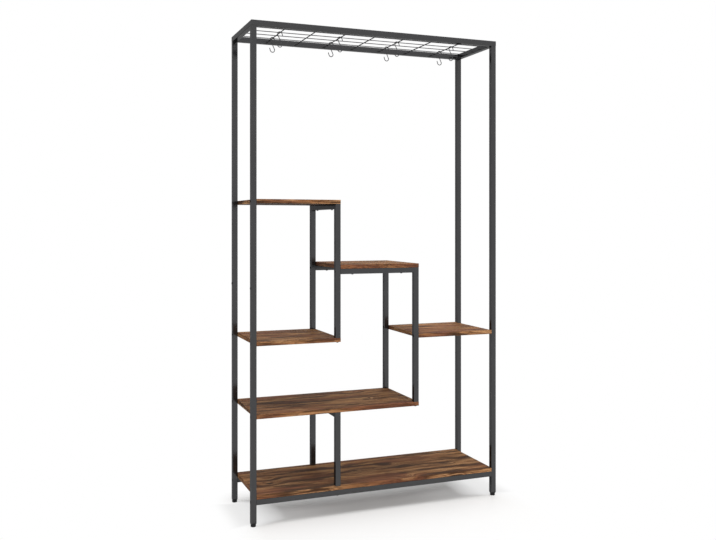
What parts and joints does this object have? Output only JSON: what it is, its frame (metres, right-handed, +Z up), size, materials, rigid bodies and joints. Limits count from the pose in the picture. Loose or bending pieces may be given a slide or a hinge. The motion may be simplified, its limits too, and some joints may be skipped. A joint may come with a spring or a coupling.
{
  "type": "plant stand",
  "caption": "Tall freestanding plant stand: square black steel tube frame, wooden shelves at staggered heights, a wire grid on top and loose S-hooks for hanging planters.",
  "frame": {"origin": "on the floor under the middle of the stand", "axes": "+Z up; front faces -Y; the left side of the stand, with the highest side shelf, faces -X"},
  "size_m": [1.0044, 0.31, 1.812],
  "materials": {
    "powder_coated_steel": "matt black powder coat with a fine grain",
    "rustic_wood": "brown rustic wood grain along the board, satin",
    "zinc_plated_steel": "plain bright zinc plate",
    "dark_plated_steel": "dark grey plated wire, satin",
    "black_plastic": "moulded, slightly satin"
  },
  "bodies": {
    "frame": {"lower_post_front_left": "powder_coated_steel", "lower_post_front_right": "powder_coated_steel", "lower_post_rear_left": "powder_coated_steel", "lower_post_rear_right": "powder_coated_steel", "upper_post_front_left": "powder_coated_steel", "upper_post_front_right": "powder_coated_steel", "upper_post_rear_left": "powder_coated_steel", "upper_post_rear_right": "powder_coated_steel", "top_rail_front": "powder_coated_steel", "top_rail_rear": "powder_coated_steel", "top_rail_left": "powder_coated_steel", "top_rail_right": "powder_coated_steel", "grid_cross_wires": "powder_coated_steel", "grid_long_wires": "powder_coated_steel", "bottom_rail_front": "powder_coated_steel", "bottom_rail_rear": "powder_coated_steel", "middle_rail_front": "powder_coated_steel", "middle_rail_rear": "powder_coated_steel", "low_column_front": "powder_coated_steel", "low_column_rear": "powder_coated_steel", "left_column_front": "powder_coated_steel", "left_column_rear": "powder_coated_steel", "right_column_front": "powder_coated_steel", "right_column_rear": "powder_coated_steel", "low_side_rail": "powder_coated_steel", "left_side_rail": "powder_coated_steel", "right_side_rail": "powder_coated_steel", "bottom_board": "rustic_wood", "low_board": "rustic_wood", "left_board": "rustic_wood", "right_board": "rustic_wood", "middle_board": "rustic_wood", "upper_board": "rustic_wood", "foot_plugs": "black_plastic", "post_sleeves": "powder_coated_steel", "post_lock_screws": "powder_coated_steel", "frame_corner_pins": "powder_coated_steel", "side_bolts": "powder_coated_steel", "board_inserts": "zinc_plated_steel", "rail_nuts": "zinc_plated_steel", "column_bolts": "powder_coated_steel", "column_nuts": "zinc_plated_steel", "board_screws": "powder_coated_steel"},
    "levelling_foot_front_left": {"foot_front_left": "black_plastic"},
    "levelling_foot_front_right": {"foot_front_right": "black_plastic"},
    "levelling_foot_rear_left": {"foot_rear_left": "black_plastic"},
    "levelling_foot_rear_right": {"foot_rear_right": "black_plastic"},
    "hanging_s_hook_front_1": {"s_hook_front_1": "dark_plated_steel"},
    "hanging_s_hook_front_2": {"s_hook_front_2": "dark_plated_steel"},
    "hanging_s_hook_front_3": {"s_hook_front_3": "dark_plated_steel"},
    "hanging_s_hook_front_4": {"s_hook_front_4": "dark_plated_steel"},
    "hanging_s_hook_rear_1": {"s_hook_rear_1": "dark_plated_steel"},
    "hanging_s_hook_rear_2": {"s_hook_rear_2": "dark_plated_steel"},
    "hanging_s_hook_rear_3": {"s_hook_rear_3": "dark_plated_steel"},
    "hanging_s_hook_rear_4": {"s_hook_rear_4": "dark_plated_steel"}
  },
  "joints": [
    {"name": "levelling_foot_front_left_screw", "type": "slide", "parent": "frame", "child": "levelling_foot_front_left", "axis": [0, 0, -1], "range_m": [0, 0.01]},
    {"name": "levelling_foot_front_right_screw", "type": "slide", "parent": "frame", "child": "levelling_foot_front_right", "axis": [0, 0, -1], "range_m": [0, 0.01]},
    {"name": "levelling_foot_rear_left_screw", "type": "slide", "parent": "frame", "child": "levelling_foot_rear_left", "axis": [0, 0, -1], "range_m": [0, 0.01]},
    {"name": "levelling_foot_rear_right_screw", "type": "slide", "parent": "frame", "child": "levelling_foot_rear_right", "axis": [0, 0, -1], "range_m": [0, 0.01]},
    {"name": "s_hook_front_1_swing", "type": "hinge", "parent": "frame", "child": "hanging_s_hook_front_1", "pos_m": [-0.36, -0.0364, 1.8], "axis": [0, 1, 0], "range_deg": [-60, 60]},
    {"name": "s_hook_front_2_swing", "type": "hinge", "parent": "frame", "child": "hanging_s_hook_front_2", "pos_m": [-0.12, -0.0364, 1.8], "axis": [0, 1, 0], "range_deg": [-60, 60]},
    {"name": "s_hook_front_3_swing", "type": "hinge", "parent": "frame", "child": "hanging_s_hook_front_3", "pos_m": [0.12, -0.0364, 1.8], "axis": [0, 1, 0], "range_deg": [-60, 60]},
    {"name": "s_hook_front_4_swing", "type": "hinge", "parent": "frame", "child": "hanging_s_hook_front_4", "pos_m": [0.36, -0.0364, 1.8], "axis": [0, 1, 0], "range_deg": [-60, 60]},
    {"name": "s_hook_rear_1_swing", "type": "hinge", "parent": "frame", "child": "hanging_s_hook_rear_1", "pos_m": [-0.36, 0.0654, 1.8], "axis": [0, 1, 0], "range_deg": [-60, 60]},
    {"name": "s_hook_rear_2_swing", "type": "hinge", "parent": "frame", "child": "hanging_s_hook_rear_2", "pos_m": [-0.12, 0.0654, 1.8], "axis": [0, 1, 0], "range_deg": [-60, 60]},
    {"name": "s_hook_rear_3_swing", "type": "hinge", "parent": "frame", "child": "hanging_s_hook_rear_3", "pos_m": [0.12, 0.0654, 1.8], "axis": [0, 1, 0], "range_deg": [-60, 60]},
    {"name": "s_hook_rear_4_swing", "type": "hinge", "parent": "frame", "child": "hanging_s_hook_rear_4", "pos_m": [0.36, 0.0654, 1.8], "axis": [0, 1, 0], "range_deg": [-60, 60]}
  ]
}
